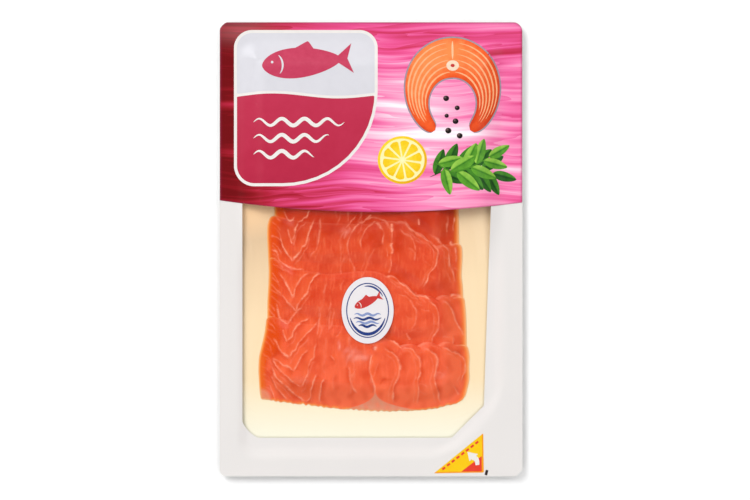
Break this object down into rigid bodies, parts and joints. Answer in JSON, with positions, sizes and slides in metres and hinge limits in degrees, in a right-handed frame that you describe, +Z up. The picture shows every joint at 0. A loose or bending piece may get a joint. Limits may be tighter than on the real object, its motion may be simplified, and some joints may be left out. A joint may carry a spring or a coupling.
{
  "type": "sliced salmon pack",
  "caption": "Flat sealed retail pack of shingled salted salmon slices on a gold card, in a shallow tray under clear film with a wide header label and an oval sticker.",
  "frame": {"origin": "under the middle of the pack, on the surface that it lies on", "axes": "+Z up, out of the front of the pack; +Y along its length towards the header label; +X to the right seen from the front"},
  "size_m": [0.16, 0.24, 0.0095],
  "materials": {
    "white_tray_plastic": "glossy formed plastic sheet",
    "gold_card": "satin pale gold laminate on board",
    "salmon_flesh": "moist translucent flesh with pale fat lines",
    "clear_film": "clear glossy sealing film",
    "white_print": "satin white print on film",
    "header_print": "satin printed label, crimson to pink",
    "sticker_paper": "white coated paper with a plain ring and fish"
  },
  "bodies": {
    "root": {"tray": "white_tray_plastic", "gold_card": "gold_card", "salmon_slice_1": "salmon_flesh", "salmon_slice_2": "salmon_flesh", "salmon_slice_3": "salmon_flesh", "salmon_slice_4": "salmon_flesh", "salmon_slice_5": "salmon_flesh", "salmon_slice_6": "salmon_flesh", "clear_film": "clear_film", "white_frame": "white_print", "header_label": "header_print", "oval_sticker": "sticker_paper"}
  },
  "joints": []
}
